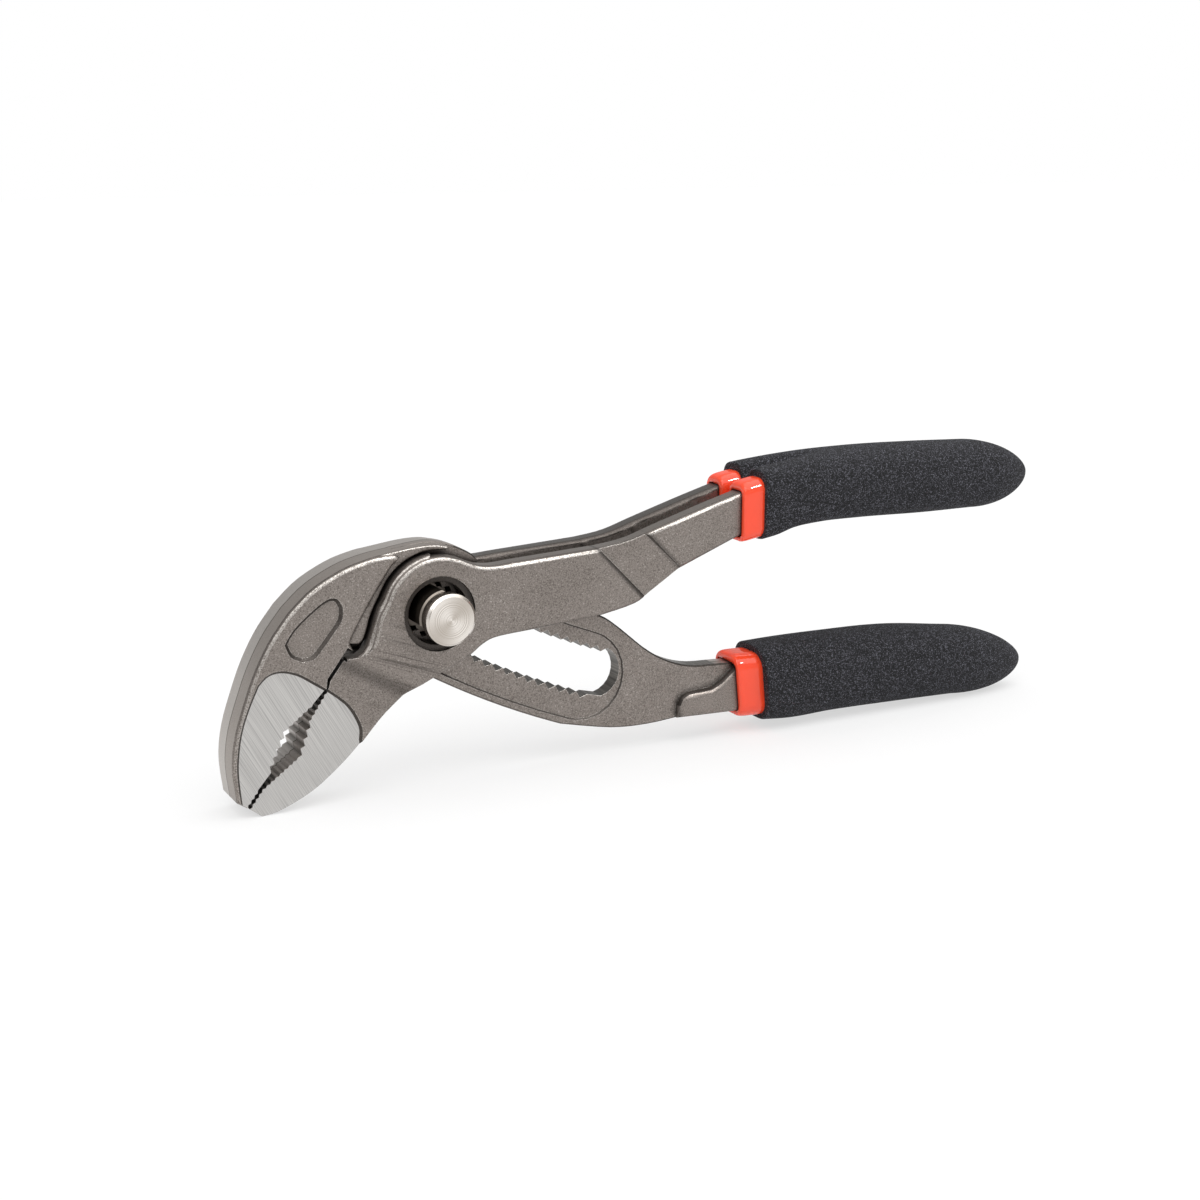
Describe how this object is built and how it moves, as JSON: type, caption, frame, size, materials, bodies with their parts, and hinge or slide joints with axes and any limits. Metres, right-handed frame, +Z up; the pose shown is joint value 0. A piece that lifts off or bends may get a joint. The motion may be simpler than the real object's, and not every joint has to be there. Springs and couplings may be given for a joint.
{
  "type": "adjustable pliers",
  "caption": "Box-joint adjustable pliers with a toothed slot, push-button pivot pin, serrated pipe jaws and dipped grips with collars.",
  "frame": {"origin": "centre of the bounding box at its base, the plane the pliers stand on", "axes": "+X from the jaws to the handles, +Y from the button side to the rear, +Z up"},
  "size_m": [0.1822, 0.0206, 0.0573],
  "materials": {
    "forged_steel": "grey-brown blasted forging with ground jaw faces",
    "pin_steel": "plain steel",
    "nickel": "turned bright nickel",
    "red_vinyl": "glossy dipped vinyl",
    "black_foam": "gritty dipped foam"
  },
  "bodies": {
    "inner": {"inner_half": "forged_steel", "lower_handle_collar": "red_vinyl", "lower_grip": "black_foam"},
    "carrier": {"spring_washer": "pin_steel", "pin_spring": "pin_steel"},
    "outer": {"outer_half": "forged_steel", "front_leg_collar": "red_vinyl", "rear_leg_collar": "red_vinyl", "upper_grip": "black_foam"},
    "pin": {"pivot_pin": "pin_steel", "push_button": "nickel", "retaining_ring": "pin_steel"}
  },
  "joints": [
    {"name": "jaw_adjust", "type": "hinge", "parent": "inner", "child": "carrier", "pos_m": [0.04204, 0.00159, 0.17819], "axis": [0, -1, 0], "range_deg": [0, 9.62]},
    {"name": "jaw_pivot", "type": "hinge", "parent": "carrier", "child": "outer", "pos_m": [-0.05112, 0.00159, 0.0342], "axis": [0, -1, 0], "range_deg": [0, 30]},
    {"name": "button_press", "type": "slide", "parent": "carrier", "child": "pin", "axis": [0, 1, 0], "range_m": [0, 0.0016], "stiffness_N_per_m": 1500, "springref_m": -0.001, "deforming": ["pin_spring"]}
  ]
}
